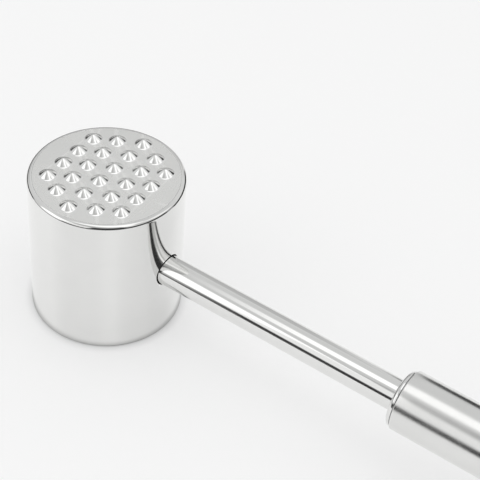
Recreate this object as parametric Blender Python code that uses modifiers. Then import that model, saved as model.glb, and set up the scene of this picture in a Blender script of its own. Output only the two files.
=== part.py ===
"""Stainless meat mallet: a round head with a toothed face, a neck rod and a tube handle.

The mallet stands on its flat lower striking face. The origin is the centre of that face, +Z runs up
the axis of the head, and the rod and the handle run along +X at half the height of the head.
"""

import math

import bmesh
import bpy
from mathutils import Matrix

# Head
HEAD_DIAMETER = 0.0500
HEAD_HEIGHT = 0.0520
HEAD_RIM_WIDTH = 0.0015
HEAD_RIM_ROUNDING = 0.0012
HEAD_FOOT_ROUNDING = 0.0008

# Toothed disc, let into the top of the head inside its rim
DISC_THICKNESS = 0.0060
DISC_EDGE_CHAMFER = 0.0002
DISC_FOOT_CHAMFER = 0.0005

# Teeth: cones in round moats, in staggered rows across the rod
TOOTH_HEIGHT = 0.0019
TOOTH_TIP_DROP = 0.00012
TOOTH_TIP_RADIUS = 0.00025
TOOTH_FOOT_DEPTH = 0.00045
TOOTH_LAND_WIDTH = 0.0012
TOOTH_EDGE_MARGIN = 0.0008
MOAT_DIAMETER = 0.0062
MOAT_DEPTH = 0.0006
MOAT_LIP_CHAMFER = 0.00012
MOAT_WALL_DEPTH = 0.0004
MOAT_WALL_TAPER = 0.00035
MOAT_FLOOR_WIDTH = 0.0003
INNER_ROW_STEP_SHARE = 0.984
OUTER_ROW_STEP_SHARE = 0.873
TOOTH_ROWS_TURN = math.radians(1.8)

# Neck rod and its tang
NECK_LENGTH = 0.0849
ROD_DIAMETER = 0.0100
ROD_END_CHAMFER = 0.0005
ROD_IN_HEAD = 0.0170
ROD_IN_CAP = 0.0030
TANG_DIAMETER = 0.0060
TANG_END_CHAMFER = 0.0006
TANG_BEYOND_NUT = 0.0020

# Set screw that clamps the rod in the head
LOCK_SCREW_DIAMETER = 0.0060
LOCK_SCREW_RECESS = 0.0029
LOCK_SCREW_CHAMFER = 0.0004
LOCK_SCREW_POINT_DIAMETER = 0.0040
LOCK_SCREW_POINT_LENGTH = 0.0010
LOCK_SCREW_SOCKET_WIDTH = 0.0030
LOCK_SCREW_SOCKET_DEPTH = 0.0030
LOCK_SCREW_FROM_ROD_END = 0.0080
ROD_FLAT_DEPTH = 0.0005
ROD_FLAT_LENGTH = 0.0070

# Handle
HANDLE_DIAMETER = 0.0191
HANDLE_LENGTH = 0.1200
HANDLE_WALL = 0.0008
HANDLE_EDGE_ROUNDING = 0.0003

# End caps of the handle
CAP_SET_IN = 0.00055
CAP_EDGE_ROUNDING = 0.0012
CAP_CROWN = 0.0004
CAP_EDGE_LENGTH = 0.0003
PLUG_LENGTH = 0.0100
PLUG_CHAMFER = 0.0004
REAR_CAP_EDGE_LENGTH = 0.0028
REAR_PLUG_WALL = 0.0014
REAR_CAP_FLOOR = 0.0052

# Washer and nut behind the front plug
WASHER_DIAMETER = 0.0120
WASHER_THICKNESS = 0.0016
NUT_WIDTH = 0.0100
NUT_THICKNESS = 0.0050
NUT_FACE_SET_IN = 0.00015

# Hanging loop
LOOP_WIRE_DIAMETER = 0.0028
LOOP_WALL_GAP = 0.00045
LOOP_STRAIGHT_LENGTH = 0.0078
LOOP_END_IN_CAP = 0.0020

# Fits
FIT_CLEARANCE = 0.0003
CUT_OVERRUN = 0.0015
MERGE_DISTANCE = 0.00001

# Facets
HEAD_STEPS = 96
TOOTH_STEPS = 18
ROD_STEPS = 48
HANDLE_STEPS = 48
SCREW_STEPS = 24
ROUNDING_STEPS = 3
LOOP_BEND_STEPS = 14
SHARP_ANGLE = math.radians(30)
QUARTER_TURN = math.pi / 2
NUT_CHAMFER_ANGLE = math.radians(30)

# Places that follow from the sizes
ROD_AXIS_HEIGHT = HEAD_HEIGHT / 2
HEAD_RADIUS = HEAD_DIAMETER / 2
SEAT_RADIUS = HEAD_RADIUS - HEAD_RIM_WIDTH
SEAT_FLOOR = HEAD_HEIGHT - DISC_THICKNESS - FIT_CLEARANCE
DISC_RADIUS = SEAT_RADIUS - FIT_CLEARANCE
MOAT_RADIUS = MOAT_DIAMETER / 2
MOAT_LIP_RADIUS = MOAT_RADIUS + MOAT_LIP_CHAMFER
MOAT_FLOOR_RADIUS = MOAT_RADIUS - MOAT_WALL_TAPER
TOOTH_FOOT_RADIUS = MOAT_FLOOR_RADIUS - MOAT_FLOOR_WIDTH
LAND_CUT_RADIUS = (TOOTH_FOOT_RADIUS + MOAT_RADIUS) / 2
TOOTH_PITCH = 2 * MOAT_LIP_RADIUS + TOOTH_LAND_WIDTH
TOOTH_REACH = DISC_RADIUS - TOOTH_EDGE_MARGIN - MOAT_LIP_RADIUS
INNER_ROW_STEP = INNER_ROW_STEP_SHARE * TOOTH_PITCH
OUTER_ROW_STEP = OUTER_ROW_STEP_SHARE * TOOTH_PITCH
ROD_RADIUS = ROD_DIAMETER / 2
ROD_INNER_END = HEAD_RADIUS - ROD_IN_HEAD
ROD_FLAT_HEIGHT = ROD_AXIS_HEIGHT + ROD_RADIUS - ROD_FLAT_DEPTH
LOCK_SCREW_PLACE = ROD_INNER_END + LOCK_SCREW_FROM_ROD_END
LOCK_SCREW_POINT = ROD_FLAT_HEIGHT + FIT_CLEARANCE
LOCK_SCREW_LENGTH = SEAT_FLOOR - LOCK_SCREW_RECESS - LOCK_SCREW_POINT
FRONT_CAP_FACE = HEAD_RADIUS + NECK_LENGTH
FRONT_CAP_EDGE = FRONT_CAP_FACE + CAP_EDGE_ROUNDING
FRONT_CAP_BACK = FRONT_CAP_EDGE + CAP_EDGE_LENGTH
HANDLE_START = FRONT_CAP_BACK + FIT_CLEARANCE
HANDLE_END = HANDLE_START + HANDLE_LENGTH
HANDLE_RADIUS = HANDLE_DIAMETER / 2
CAP_RADIUS = HANDLE_RADIUS - CAP_SET_IN
ROD_SHOULDER = FRONT_CAP_FACE + ROD_IN_CAP
FRONT_PLUG_END = HANDLE_START + PLUG_LENGTH
WASHER_PLACE = FRONT_PLUG_END + FIT_CLEARANCE
NUT_PLACE = WASHER_PLACE + WASHER_THICKNESS + FIT_CLEARANCE
TANG_END = NUT_PLACE + NUT_THICKNESS + TANG_BEYOND_NUT
REAR_CAP_BACK = HANDLE_END + FIT_CLEARANCE
REAR_CAP_EDGE = REAR_CAP_BACK + REAR_CAP_EDGE_LENGTH
REAR_CAP_FACE = REAR_CAP_EDGE + CAP_EDGE_ROUNDING
REAR_CAP_INSIDE = REAR_CAP_FACE - REAR_CAP_FLOOR
REAR_PLUG_END = HANDLE_END - PLUG_LENGTH
PLUG_RADIUS = HANDLE_RADIUS - HANDLE_WALL - FIT_CLEARANCE
REAR_PLUG_BORE = PLUG_RADIUS - REAR_PLUG_WALL
LOOP_BEND_RADIUS = REAR_PLUG_BORE - LOOP_WALL_GAP - LOOP_WIRE_DIAMETER / 2
LOOP_LEG_START = REAR_CAP_INSIDE - LOOP_END_IN_CAP
LOOP_BEND_START = REAR_CAP_FACE + LOOP_STRAIGHT_LENGTH

# Finishes: base colour, roughness
POLISHED = ((0.78, 0.78, 0.77, 1.0), 0.10)
SATIN = ((0.66, 0.66, 0.65, 1.0), 0.32)
BRUSHED = ((0.70, 0.70, 0.69, 1.0), 0.28)
PLAIN = ((0.55, 0.55, 0.56, 1.0), 0.40)


def clear_scene():
    """Removes the objects that are in the scene."""
    for obj in list(bpy.data.objects):
        bpy.data.objects.remove(obj)


def new_collection(name):
    """Makes a collection under the scene's own."""
    collection = bpy.data.collections.new(name)
    bpy.context.scene.collection.children.link(collection)
    return collection


def steel(name, finish):
    """Makes a stainless steel material of the given finish."""
    colour, roughness = finish
    material = bpy.data.materials.new(name)
    material.use_nodes = True
    shader = material.node_tree.nodes["Principled BSDF"]
    shader.inputs["Base Color"].default_value = colour
    shader.inputs["Metallic"].default_value = 1.0
    shader.inputs["Roughness"].default_value = roughness
    return material


def arc(centre_radius, centre_height, rounding, start, end, steps=ROUNDING_STEPS):
    """Gives points on an arc as (radius, height), with angles from the radial direction."""
    points = []
    for step in range(steps + 1):
        angle = start + (end - start) * step / steps
        radius = centre_radius + rounding * math.cos(angle)
        height = centre_height + rounding * math.sin(angle)
        points.append((radius, height))
    return points


def turned(name, profile, steps, collection, closed=False):
    """Turns a profile of (radius, height) points, outer side top to bottom, round the local Z axis."""
    mesh = bpy.data.meshes.new(name)
    points = [(radius, 0, height) for radius, height in profile]
    edges = [(index, index + 1) for index in range(len(points) - 1)]
    if closed:
        edges.append((len(points) - 1, 0))
    mesh.from_pydata(points, edges, [])
    obj = bpy.data.objects.new(name, mesh)
    collection.objects.link(obj)
    screw = obj.modifiers.new("Turn", "SCREW")
    screw.axis = "Z"
    screw.angle = 2 * math.pi
    screw.steps = steps
    screw.render_steps = steps
    screw.use_merge_vertices = True
    screw.merge_threshold = MERGE_DISTANCE
    return obj


def solid(name, fill, collection):
    """Makes an object from a function that fills a bmesh with primitives."""
    mesh = bpy.data.meshes.new(name)
    shape = bmesh.new()
    fill(shape)
    shape.to_mesh(mesh)
    shape.free()
    obj = bpy.data.objects.new(name, mesh)
    collection.objects.link(obj)
    return obj


def add_cylinder(shape, radius, start, end, steps, across=(0, 0)):
    """Adds a cylinder along Z from start to end to a bmesh, moved sideways by across."""
    place = Matrix.Translation((across[0], across[1], (start + end) / 2))
    bmesh.ops.create_cone(
        shape,
        cap_ends=True,
        segments=steps,
        radius1=radius,
        radius2=radius,
        depth=end - start,
        matrix=place,
    )


def add_box(shape, low, high):
    """Adds a box between two corners to a bmesh."""
    size = [top - bottom for bottom, top in zip(low, high)]
    middle = [(bottom + top) / 2 for bottom, top in zip(low, high)]
    bmesh.ops.create_cube(shape, size=1, matrix=Matrix.Translation(middle) @ Matrix.Diagonal((*size, 1)))


def along_rod(obj):
    """Lays a piece that was made along Z onto the axis of the rod, so its heights become X."""
    obj.rotation_euler = (0, QUARTER_TURN, 0)
    obj.location = (0, 0, ROD_AXIS_HEIGHT)
    return obj


def boolean(obj, cutter, operation="DIFFERENCE"):
    """Cuts, joins or trims an object with another and hides the other."""
    modifier = obj.modifiers.new(cutter.name, "BOOLEAN")
    modifier.operation = operation
    modifier.solver = "EXACT"
    modifier.object = cutter
    cutter.hide_render = True
    cutter.display_type = "WIRE"


def tooth_places():
    """Gives the centre of each tooth: rows across the rod, as many and as long as the disc can hold.

    Every other row is shifted by half a pitch. The middle row is one of these, so two teeth flank
    the centre of the disc. The whole pattern is turned a little, as the disc is pressed in by hand.
    """
    turn_cos = math.cos(TOOTH_ROWS_TURN)
    turn_sin = math.sin(TOOTH_ROWS_TURN)
    most_rows = math.ceil(TOOTH_REACH / OUTER_ROW_STEP)
    most_teeth = math.ceil(TOOTH_REACH / TOOTH_PITCH)
    places = []
    for row in range(-most_rows, most_rows + 1):
        offset = min(abs(row), 1) * INNER_ROW_STEP + max(abs(row) - 1, 0) * OUTER_ROW_STEP
        x = math.copysign(offset, row)
        shift = TOOTH_PITCH / 2 if row % 2 == 0 else 0
        for index in range(-most_teeth, most_teeth + 1):
            y = index * TOOTH_PITCH + shift
            if math.hypot(x, y) <= TOOTH_REACH:
                places.append((x * turn_cos - y * turn_sin, x * turn_sin + y * turn_cos))
    return places


def build_head(parts, cutters):
    """Turns the head, with its rounded rim and foot, the disc seat, the rod bore and the screw hole."""
    profile = [(0, SEAT_FLOOR), (SEAT_RADIUS, SEAT_FLOOR), (SEAT_RADIUS, HEAD_HEIGHT)]
    rim_radius = HEAD_RADIUS - HEAD_RIM_ROUNDING
    rim_height = HEAD_HEIGHT - HEAD_RIM_ROUNDING
    profile += arc(rim_radius, rim_height, HEAD_RIM_ROUNDING, QUARTER_TURN, 0, 2 * ROUNDING_STEPS)
    foot_radius = HEAD_RADIUS - HEAD_FOOT_ROUNDING
    profile += arc(foot_radius, HEAD_FOOT_ROUNDING, HEAD_FOOT_ROUNDING, 0, -QUARTER_TURN)
    profile.append((0, 0))
    head = turned("head_body", profile, HEAD_STEPS, parts)

    bore_start = ROD_INNER_END - FIT_CLEARANCE
    bore = solid(
        "rod_bore_cutter",
        lambda shape: add_cylinder(
            shape, ROD_RADIUS + FIT_CLEARANCE, bore_start, HEAD_RADIUS + CUT_OVERRUN, ROD_STEPS
        ),
        cutters,
    )
    along_rod(bore)
    boolean(head, bore)

    screw_hole = solid(
        "screw_hole_cutter",
        lambda shape: add_cylinder(
            shape,
            LOCK_SCREW_DIAMETER / 2 + FIT_CLEARANCE,
            ROD_AXIS_HEIGHT,
            SEAT_FLOOR + CUT_OVERRUN,
            SCREW_STEPS,
        ),
        cutters,
    )
    screw_hole.location.x = LOCK_SCREW_PLACE
    boolean(head, screw_hole)
    return head


def tooth_form_profile(top):
    """Gives the outline of the hollow form tool that leaves one tooth standing in its moat."""
    return [
        (0, top),
        (MOAT_LIP_RADIUS, top),
        (MOAT_LIP_RADIUS, HEAD_HEIGHT),
        (MOAT_RADIUS, HEAD_HEIGHT - MOAT_LIP_CHAMFER),
        (MOAT_RADIUS, HEAD_HEIGHT - MOAT_WALL_DEPTH),
        (MOAT_FLOOR_RADIUS, HEAD_HEIGHT - MOAT_DEPTH),
        (TOOTH_FOOT_RADIUS, HEAD_HEIGHT - TOOTH_FOOT_DEPTH),
        (TOOTH_TIP_RADIUS, HEAD_HEIGHT + TOOTH_HEIGHT - TOOTH_TIP_DROP),
        (0, HEAD_HEIGHT + TOOTH_HEIGHT),
    ]


def add_turned(shape, profile, steps, across):
    """Spins a profile that starts and ends on its axis round a vertical axis in a bmesh."""
    points = [shape.verts.new((across[0] + radius, across[1], height)) for radius, height in profile]
    edges = [shape.edges.new(pair) for pair in zip(points, points[1:])]
    bmesh.ops.spin(
        shape,
        geom=points + edges,
        axis=(0, 0, 1),
        cent=(across[0], across[1], 0),
        angle=2 * math.pi,
        steps=steps,
        use_merge=True,
    )


def build_toothed_disc(parts, cutters):
    """Makes the disc as it is machined: form tools leave the teeth, then the lands are milled down."""
    blank_top = HEAD_HEIGHT + TOOTH_HEIGHT + FIT_CLEARANCE
    cut_top = blank_top + CUT_OVERRUN
    bottom = HEAD_HEIGHT - DISC_THICKNESS
    profile = [
        (0, blank_top),
        (DISC_RADIUS, blank_top),
        (DISC_RADIUS, bottom + DISC_FOOT_CHAMFER),
        (DISC_RADIUS - DISC_FOOT_CHAMFER, bottom),
        (0, bottom),
    ]
    disc = turned("toothed_disc", profile, HEAD_STEPS, parts)

    def form_tools(shape):
        for place in tooth_places():
            add_turned(shape, tooth_form_profile(cut_top), TOOTH_STEPS, place)
        bmesh.ops.remove_doubles(shape, verts=shape.verts, dist=MERGE_DISTANCE)
        bmesh.ops.recalc_face_normals(shape, faces=shape.faces)

    def tooth_clearings(shape):
        for place in tooth_places():
            add_cylinder(
                shape, LAND_CUT_RADIUS, HEAD_HEIGHT - CUT_OVERRUN, cut_top + CUT_OVERRUN, TOOTH_STEPS, place
            )

    tools = solid("tooth_form_cutter", form_tools, cutters)
    clearings = solid("tooth_clearing_cutter", tooth_clearings, cutters)
    land_profile = [
        (0, cut_top),
        (DISC_RADIUS + CUT_OVERRUN, cut_top),
        (DISC_RADIUS + CUT_OVERRUN, HEAD_HEIGHT - DISC_EDGE_CHAMFER - CUT_OVERRUN),
        (DISC_RADIUS - DISC_EDGE_CHAMFER, HEAD_HEIGHT),
        (0, HEAD_HEIGHT),
    ]
    lands = turned("land_cutter", land_profile, HEAD_STEPS, cutters)
    boolean(lands, clearings)
    boolean(disc, tools)
    boolean(disc, lands)
    return disc


def build_lock_screw(parts, cutters):
    """Makes the set screw: a chamfered shank with a blunt point and a hexagon socket."""
    radius = LOCK_SCREW_DIAMETER / 2
    point_radius = LOCK_SCREW_POINT_DIAMETER / 2
    profile = [
        (0, LOCK_SCREW_LENGTH),
        (radius - LOCK_SCREW_CHAMFER, LOCK_SCREW_LENGTH),
        (radius, LOCK_SCREW_LENGTH - LOCK_SCREW_CHAMFER),
        (radius, LOCK_SCREW_POINT_LENGTH),
        (point_radius, 0),
        (0, 0),
    ]
    screw = turned("rod_lock_screw", profile, SCREW_STEPS, parts)
    place = (LOCK_SCREW_PLACE, 0, LOCK_SCREW_POINT)
    screw.location = place
    corner_radius = LOCK_SCREW_SOCKET_WIDTH / 2 / math.cos(math.radians(30))
    socket = solid(
        "screw_socket_cutter",
        lambda shape: add_cylinder(
            shape,
            corner_radius,
            LOCK_SCREW_LENGTH - LOCK_SCREW_SOCKET_DEPTH,
            LOCK_SCREW_LENGTH + CUT_OVERRUN,
            6,
        ),
        cutters,
    )
    socket.location = place
    boolean(screw, socket)
    return screw


def build_rod(parts, cutters):
    """Makes the rod: its end in the head has a flat for the screw, its tang passes the front cap."""
    tang_radius = TANG_DIAMETER / 2
    profile = [
        (0, TANG_END),
        (tang_radius - TANG_END_CHAMFER, TANG_END),
        (tang_radius, TANG_END - TANG_END_CHAMFER),
        (tang_radius, ROD_SHOULDER),
        (ROD_RADIUS - ROD_END_CHAMFER, ROD_SHOULDER),
        (ROD_RADIUS, ROD_SHOULDER - ROD_END_CHAMFER),
        (ROD_RADIUS, ROD_INNER_END + ROD_END_CHAMFER),
        (ROD_RADIUS - ROD_END_CHAMFER, ROD_INNER_END),
        (0, ROD_INNER_END),
    ]
    rod = along_rod(turned("neck_rod", profile, ROD_STEPS, parts))
    half_length = ROD_FLAT_LENGTH / 2
    half_width = ROD_RADIUS + CUT_OVERRUN
    flat = solid(
        "rod_flat_cutter",
        lambda shape: add_box(
            shape,
            (LOCK_SCREW_PLACE - half_length, -half_width, ROD_FLAT_HEIGHT),
            (LOCK_SCREW_PLACE + half_length, half_width, ROD_AXIS_HEIGHT + half_width),
        ),
        cutters,
    )
    boolean(rod, flat)
    return rod


def build_front_cap(parts):
    """Turns the front cap: a crowned face round the rod, a rounded edge and a plug in the tube."""
    tang_bore = TANG_DIAMETER / 2 + FIT_CLEARANCE
    rod_bore = ROD_RADIUS + FIT_CLEARANCE
    edge_centre = CAP_RADIUS - CAP_EDGE_ROUNDING
    profile = [
        (tang_bore, FRONT_PLUG_END),
        (PLUG_RADIUS - PLUG_CHAMFER, FRONT_PLUG_END),
        (PLUG_RADIUS, FRONT_PLUG_END - PLUG_CHAMFER),
        (PLUG_RADIUS, FRONT_CAP_BACK),
        (CAP_RADIUS, FRONT_CAP_BACK),
    ]
    profile += arc(edge_centre, FRONT_CAP_EDGE, CAP_EDGE_ROUNDING, 0, -QUARTER_TURN, 2 * ROUNDING_STEPS)
    profile += [
        (rod_bore, FRONT_CAP_FACE - CAP_CROWN),
        (rod_bore, ROD_SHOULDER + FIT_CLEARANCE),
        (tang_bore, ROD_SHOULDER + FIT_CLEARANCE),
    ]
    return along_rod(turned("handle_front_cap", profile, HANDLE_STEPS, parts, closed=True))


def build_washer(parts):
    """Turns the washer behind the front plug."""
    bore = TANG_DIAMETER / 2 + FIT_CLEARANCE
    outer = WASHER_DIAMETER / 2
    top = WASHER_PLACE + WASHER_THICKNESS
    profile = [(bore, top), (outer, top), (outer, WASHER_PLACE), (bore, WASHER_PLACE)]
    return along_rod(turned("tang_washer", profile, SCREW_STEPS, parts, closed=True))


def build_nut(parts, cutters):
    """Makes the hexagon nut: a prism trimmed by a double cone and bored for the tang."""
    top = NUT_PLACE + NUT_THICKNESS
    corner_radius = NUT_WIDTH / 2 / math.cos(math.radians(30))
    nut = solid(
        "tang_nut",
        lambda shape: add_cylinder(shape, corner_radius, NUT_PLACE, top, 6),
        parts,
    )
    slope = math.tan(NUT_CHAMFER_ANGLE)
    face_radius = NUT_WIDTH / 2 - NUT_FACE_SET_IN
    wide_radius = corner_radius + CUT_OVERRUN
    chamfer_height = (wide_radius - face_radius) * slope
    end_radius = face_radius - CUT_OVERRUN
    end_height = (face_radius - end_radius) * slope
    profile = [
        (0, top + end_height),
        (end_radius, top + end_height),
        (wide_radius, top - chamfer_height),
        (wide_radius, NUT_PLACE + chamfer_height),
        (end_radius, NUT_PLACE - end_height),
        (0, NUT_PLACE - end_height),
    ]
    form = turned("nut_chamfer_form", profile, SCREW_STEPS, cutters)
    bore = solid(
        "nut_bore_cutter",
        lambda shape: add_cylinder(
            shape,
            TANG_DIAMETER / 2 + FIT_CLEARANCE,
            NUT_PLACE - CUT_OVERRUN,
            top + CUT_OVERRUN,
            SCREW_STEPS,
        ),
        cutters,
    )
    for piece in (nut, form, bore):
        along_rod(piece)
    boolean(nut, form, "INTERSECT")
    boolean(nut, bore)
    return nut


def build_tube(parts):
    """Turns the grip tube with rounded outer edges."""
    inner = HANDLE_RADIUS - HANDLE_WALL
    centre = HANDLE_RADIUS - HANDLE_EDGE_ROUNDING
    profile = [(inner, HANDLE_END)]
    profile += arc(centre, HANDLE_END - HANDLE_EDGE_ROUNDING, HANDLE_EDGE_ROUNDING, QUARTER_TURN, 0)
    profile += arc(centre, HANDLE_START + HANDLE_EDGE_ROUNDING, HANDLE_EDGE_ROUNDING, 0, -QUARTER_TURN)
    profile.append((inner, HANDLE_START))
    return along_rod(turned("handle_tube", profile, HANDLE_STEPS, parts, closed=True))


def build_rear_cap(parts, cutters):
    """Turns the rear cap: a crowned end, a hollow plug in the tube and two holes for the loop."""
    edge_centre = CAP_RADIUS - CAP_EDGE_ROUNDING
    profile = [(0, REAR_CAP_FACE + CAP_CROWN)]
    profile += arc(edge_centre, REAR_CAP_EDGE, CAP_EDGE_ROUNDING, QUARTER_TURN, 0, 2 * ROUNDING_STEPS)
    profile += [
        (CAP_RADIUS, REAR_CAP_BACK),
        (PLUG_RADIUS, REAR_CAP_BACK),
        (PLUG_RADIUS, REAR_PLUG_END + PLUG_CHAMFER),
        (PLUG_RADIUS - PLUG_CHAMFER, REAR_PLUG_END),
        (REAR_PLUG_BORE, REAR_PLUG_END),
        (REAR_PLUG_BORE, REAR_CAP_INSIDE),
        (0, REAR_CAP_INSIDE),
    ]
    cap = along_rod(turned("handle_rear_cap", profile, HANDLE_STEPS, parts))

    def leg_holes(shape):
        for side in (-1, 1):
            add_cylinder(
                shape,
                LOOP_WIRE_DIAMETER / 2 + FIT_CLEARANCE,
                REAR_CAP_INSIDE - CUT_OVERRUN,
                REAR_CAP_FACE + CAP_CROWN + CUT_OVERRUN,
                SCREW_STEPS,
                (0, side * LOOP_BEND_RADIUS),
            )

    boolean(cap, along_rod(solid("leg_hole_cutter", leg_holes, cutters)))
    return cap


def build_loop(parts):
    """Bends the hanging loop from round wire: two straight legs and a half turn."""
    points = [(LOOP_LEG_START, LOOP_BEND_RADIUS)]
    for step in range(LOOP_BEND_STEPS + 1):
        angle = QUARTER_TURN - math.pi * step / LOOP_BEND_STEPS
        x = LOOP_BEND_START + LOOP_BEND_RADIUS * math.cos(angle)
        y = LOOP_BEND_RADIUS * math.sin(angle)
        points.append((x, y))
    points.append((LOOP_LEG_START, -LOOP_BEND_RADIUS))
    curve = bpy.data.curves.new("hanging_loop", "CURVE")
    curve.dimensions = "3D"
    curve.bevel_depth = LOOP_WIRE_DIAMETER / 2
    curve.bevel_resolution = 4
    curve.use_fill_caps = True
    spline = curve.splines.new("POLY")
    spline.points.add(len(points) - 1)
    for point, (x, y) in zip(spline.points, points):
        point.co = (x, y, 0, 1)
    loop = bpy.data.objects.new("hanging_loop", curve)
    parts.objects.link(loop)
    loop.location.z = ROD_AXIS_HEIGHT
    return loop


def settle(obj):
    """Turns a piece's modifiers into its mesh and shades it smooth between its sharp edges."""
    depsgraph = bpy.context.evaluated_depsgraph_get()
    mesh = bpy.data.meshes.new_from_object(obj.evaluated_get(depsgraph))
    shape = bmesh.new()
    shape.from_mesh(mesh)
    bmesh.ops.remove_doubles(shape, verts=shape.verts, dist=MERGE_DISTANCE)
    shape.to_mesh(mesh)
    shape.free()
    mesh.shade_smooth()
    mesh.set_sharp_from_angle(angle=SHARP_ANGLE)
    if obj.type == "MESH":
        obj.modifiers.clear()
        obj.data = mesh
        return obj
    settled = bpy.data.objects.new(obj.name, mesh)
    settled.matrix_world = obj.matrix_world
    for collection in obj.users_collection:
        collection.objects.link(settled)
    name = obj.name
    bpy.data.objects.remove(obj)
    settled.name = name
    return settled


def main():
    """Builds the mallet from its separate pieces."""
    clear_scene()
    parts = new_collection("meat_mallet")
    cutters = new_collection("cutters")
    pieces = [
        (build_head(parts, cutters), POLISHED),
        (build_toothed_disc(parts, cutters), SATIN),
        (build_lock_screw(parts, cutters), PLAIN),
        (build_rod(parts, cutters), POLISHED),
        (build_front_cap(parts), POLISHED),
        (build_washer(parts), PLAIN),
        (build_nut(parts, cutters), PLAIN),
        (build_tube(parts), BRUSHED),
        (build_rear_cap(parts, cutters), POLISHED),
        (build_loop(parts), POLISHED),
    ]
    bpy.context.view_layer.update()
    root = bpy.data.objects.new("mallet_root", None)
    parts.objects.link(root)
    for obj, finish in pieces:
        settled = settle(obj)
        settled.data.materials.append(steel(settled.name + "_steel", finish))
        settled.parent = root
    for cutter in list(cutters.objects):
        bpy.data.objects.remove(cutter)
    bpy.data.collections.remove(cutters)


if __name__ == "__main__":
    main()
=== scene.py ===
"""Looks of the stainless meat mallet: fine meshes, steel finishes, a soft studio and the camera.

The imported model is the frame. Each sub-assembly is a class that holds its sizes, builds its meshes
and dresses them. All lengths are in metres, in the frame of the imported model: the mallet stands on
its flat striking face, the axis of the head is Z, and the rod and the handle run along +X.
"""

import logging
import math
from dataclasses import dataclass
from enum import Enum
from typing import Sequence

import bmesh
import bpy
from mathutils import Matrix, Vector


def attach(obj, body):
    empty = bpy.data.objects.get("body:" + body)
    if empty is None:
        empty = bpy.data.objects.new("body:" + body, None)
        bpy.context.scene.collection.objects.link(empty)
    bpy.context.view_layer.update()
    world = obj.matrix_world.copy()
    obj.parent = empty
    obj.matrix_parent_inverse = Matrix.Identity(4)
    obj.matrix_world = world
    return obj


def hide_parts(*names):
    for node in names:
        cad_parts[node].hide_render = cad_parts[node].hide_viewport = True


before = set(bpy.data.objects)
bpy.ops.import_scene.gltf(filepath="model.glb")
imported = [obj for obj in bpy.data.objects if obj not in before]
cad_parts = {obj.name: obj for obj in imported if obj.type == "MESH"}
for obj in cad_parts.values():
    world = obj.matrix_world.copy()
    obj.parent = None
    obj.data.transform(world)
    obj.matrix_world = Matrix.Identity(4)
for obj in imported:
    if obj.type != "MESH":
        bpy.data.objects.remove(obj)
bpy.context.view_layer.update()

LOG = logging.getLogger("mallet")

Point = tuple[float, float]
Triple = tuple[float, float, float]

MERGE_DISTANCE = 1e-7
WELD_DISTANCE = 2e-6
SHARP_ANGLE = math.radians(35)
ROD_AXIS_HEIGHT = 0.0260


class Slot(Enum):
    """Names of the record's material slots, which nothing in this script reads."""

    POLISHED = "polished_steel"
    SATIN = "satin_face"
    BRUSHED = "brushed_tube"


# Meshes


def arc(centre: Point, radius: float, start: float, end: float, steps: int) -> list[Point]:
    """Gives points on an arc of a section.

    Args:
        centre: Radius and height of the arc's centre.
        radius: Radius of the arc.
        start: First angle in degrees, from the radial direction towards the height.
        end: Last angle in degrees.
        steps: Number of chords.

    Returns:
        The points as (radius, height).
    """
    points = []
    for step in range(steps + 1):
        angle = math.radians(start + (end - start) * step / steps)
        points.append((centre[0] + radius * math.cos(angle), centre[1] + radius * math.sin(angle)))
    return points


def line(start: Point, end: Point, steps: int) -> list[Point]:
    """Gives evenly spaced points of a straight run, without its first point.

    Args:
        start: First point as (radius, height), left out of the result.
        end: Last point.
        steps: Number of parts.

    Returns:
        The points as (radius, height).
    """
    points = []
    for step in range(1, steps + 1):
        share = step / steps
        points.append(tuple(low + (high - low) * share for low, high in zip(start, end)))
    return points


def post(radius: float, start: float, end: float) -> list[Point]:
    """Gives the section of a plain round post between two heights."""
    return [(0.0, start), (radius, start), (radius, end), (0.0, end)]


def lathe(name: str, section: Sequence[Point], steps: int, ring: bool = False) -> bpy.types.Mesh:
    """Turns a section round the Z axis into a mesh.

    Args:
        name: Name of the mesh.
        section: Points as (radius, height). A point on the axis becomes a single vertex.
        steps: Number of columns round the axis.
        ring: Whether the section closes on itself, as that of a tube does.

    Returns:
        The mesh, with its faces pointing outwards where it is closed.
    """
    shape = bmesh.new()
    rows = []
    for radius, height in section:
        if radius < MERGE_DISTANCE:
            rows.append([shape.verts.new((0, 0, height))])
            continue
        row = []
        for step in range(steps):
            angle = 2 * math.pi * step / steps
            x, y = radius * math.cos(angle), radius * math.sin(angle)
            row.append(shape.verts.new((x, y, height)))
        rows.append(row)
    pairs = list(zip(rows, rows[1:]))
    if ring:
        pairs.append((rows[-1], rows[0]))
    for upper, lower in pairs:
        for step in range(steps):
            following = (step + 1) % steps
            corners = [upper[step % len(upper)], lower[step % len(lower)]]
            if len(lower) > 1:
                corners.append(lower[following])
            if len(upper) > 1:
                corners.append(upper[following])
            if len(corners) > 2:
                shape.faces.new(corners)
    bmesh.ops.recalc_face_normals(shape, faces=shape.faces)
    mesh = bpy.data.meshes.new(name)
    shape.to_mesh(mesh)
    shape.free()
    return mesh


def rod_frame() -> Matrix:
    """Gives the matrix that lays a piece made along Z onto the axis of the rod."""
    return Matrix.Translation((0, 0, ROD_AXIS_HEIGHT)) @ Matrix.Rotation(math.pi / 2, 4, "Y")


def off_rod_axis(point: Vector) -> float:
    """Gives how far a point lies from the axis of the rod."""
    return math.hypot(point.y, point.z - ROD_AXIS_HEIGHT)


def new_piece(name: str, data: bpy.types.Mesh | bpy.types.Curve) -> bpy.types.Object:
    """Links a mesh or a curve to the scene as an object at the origin.

    Args:
        name: Name of the object.
        data: Its mesh or curve, already in its place.

    Returns:
        The object.
    """
    piece = bpy.data.objects.new(name, data)
    bpy.context.scene.collection.objects.link(piece)
    return piece


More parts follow.
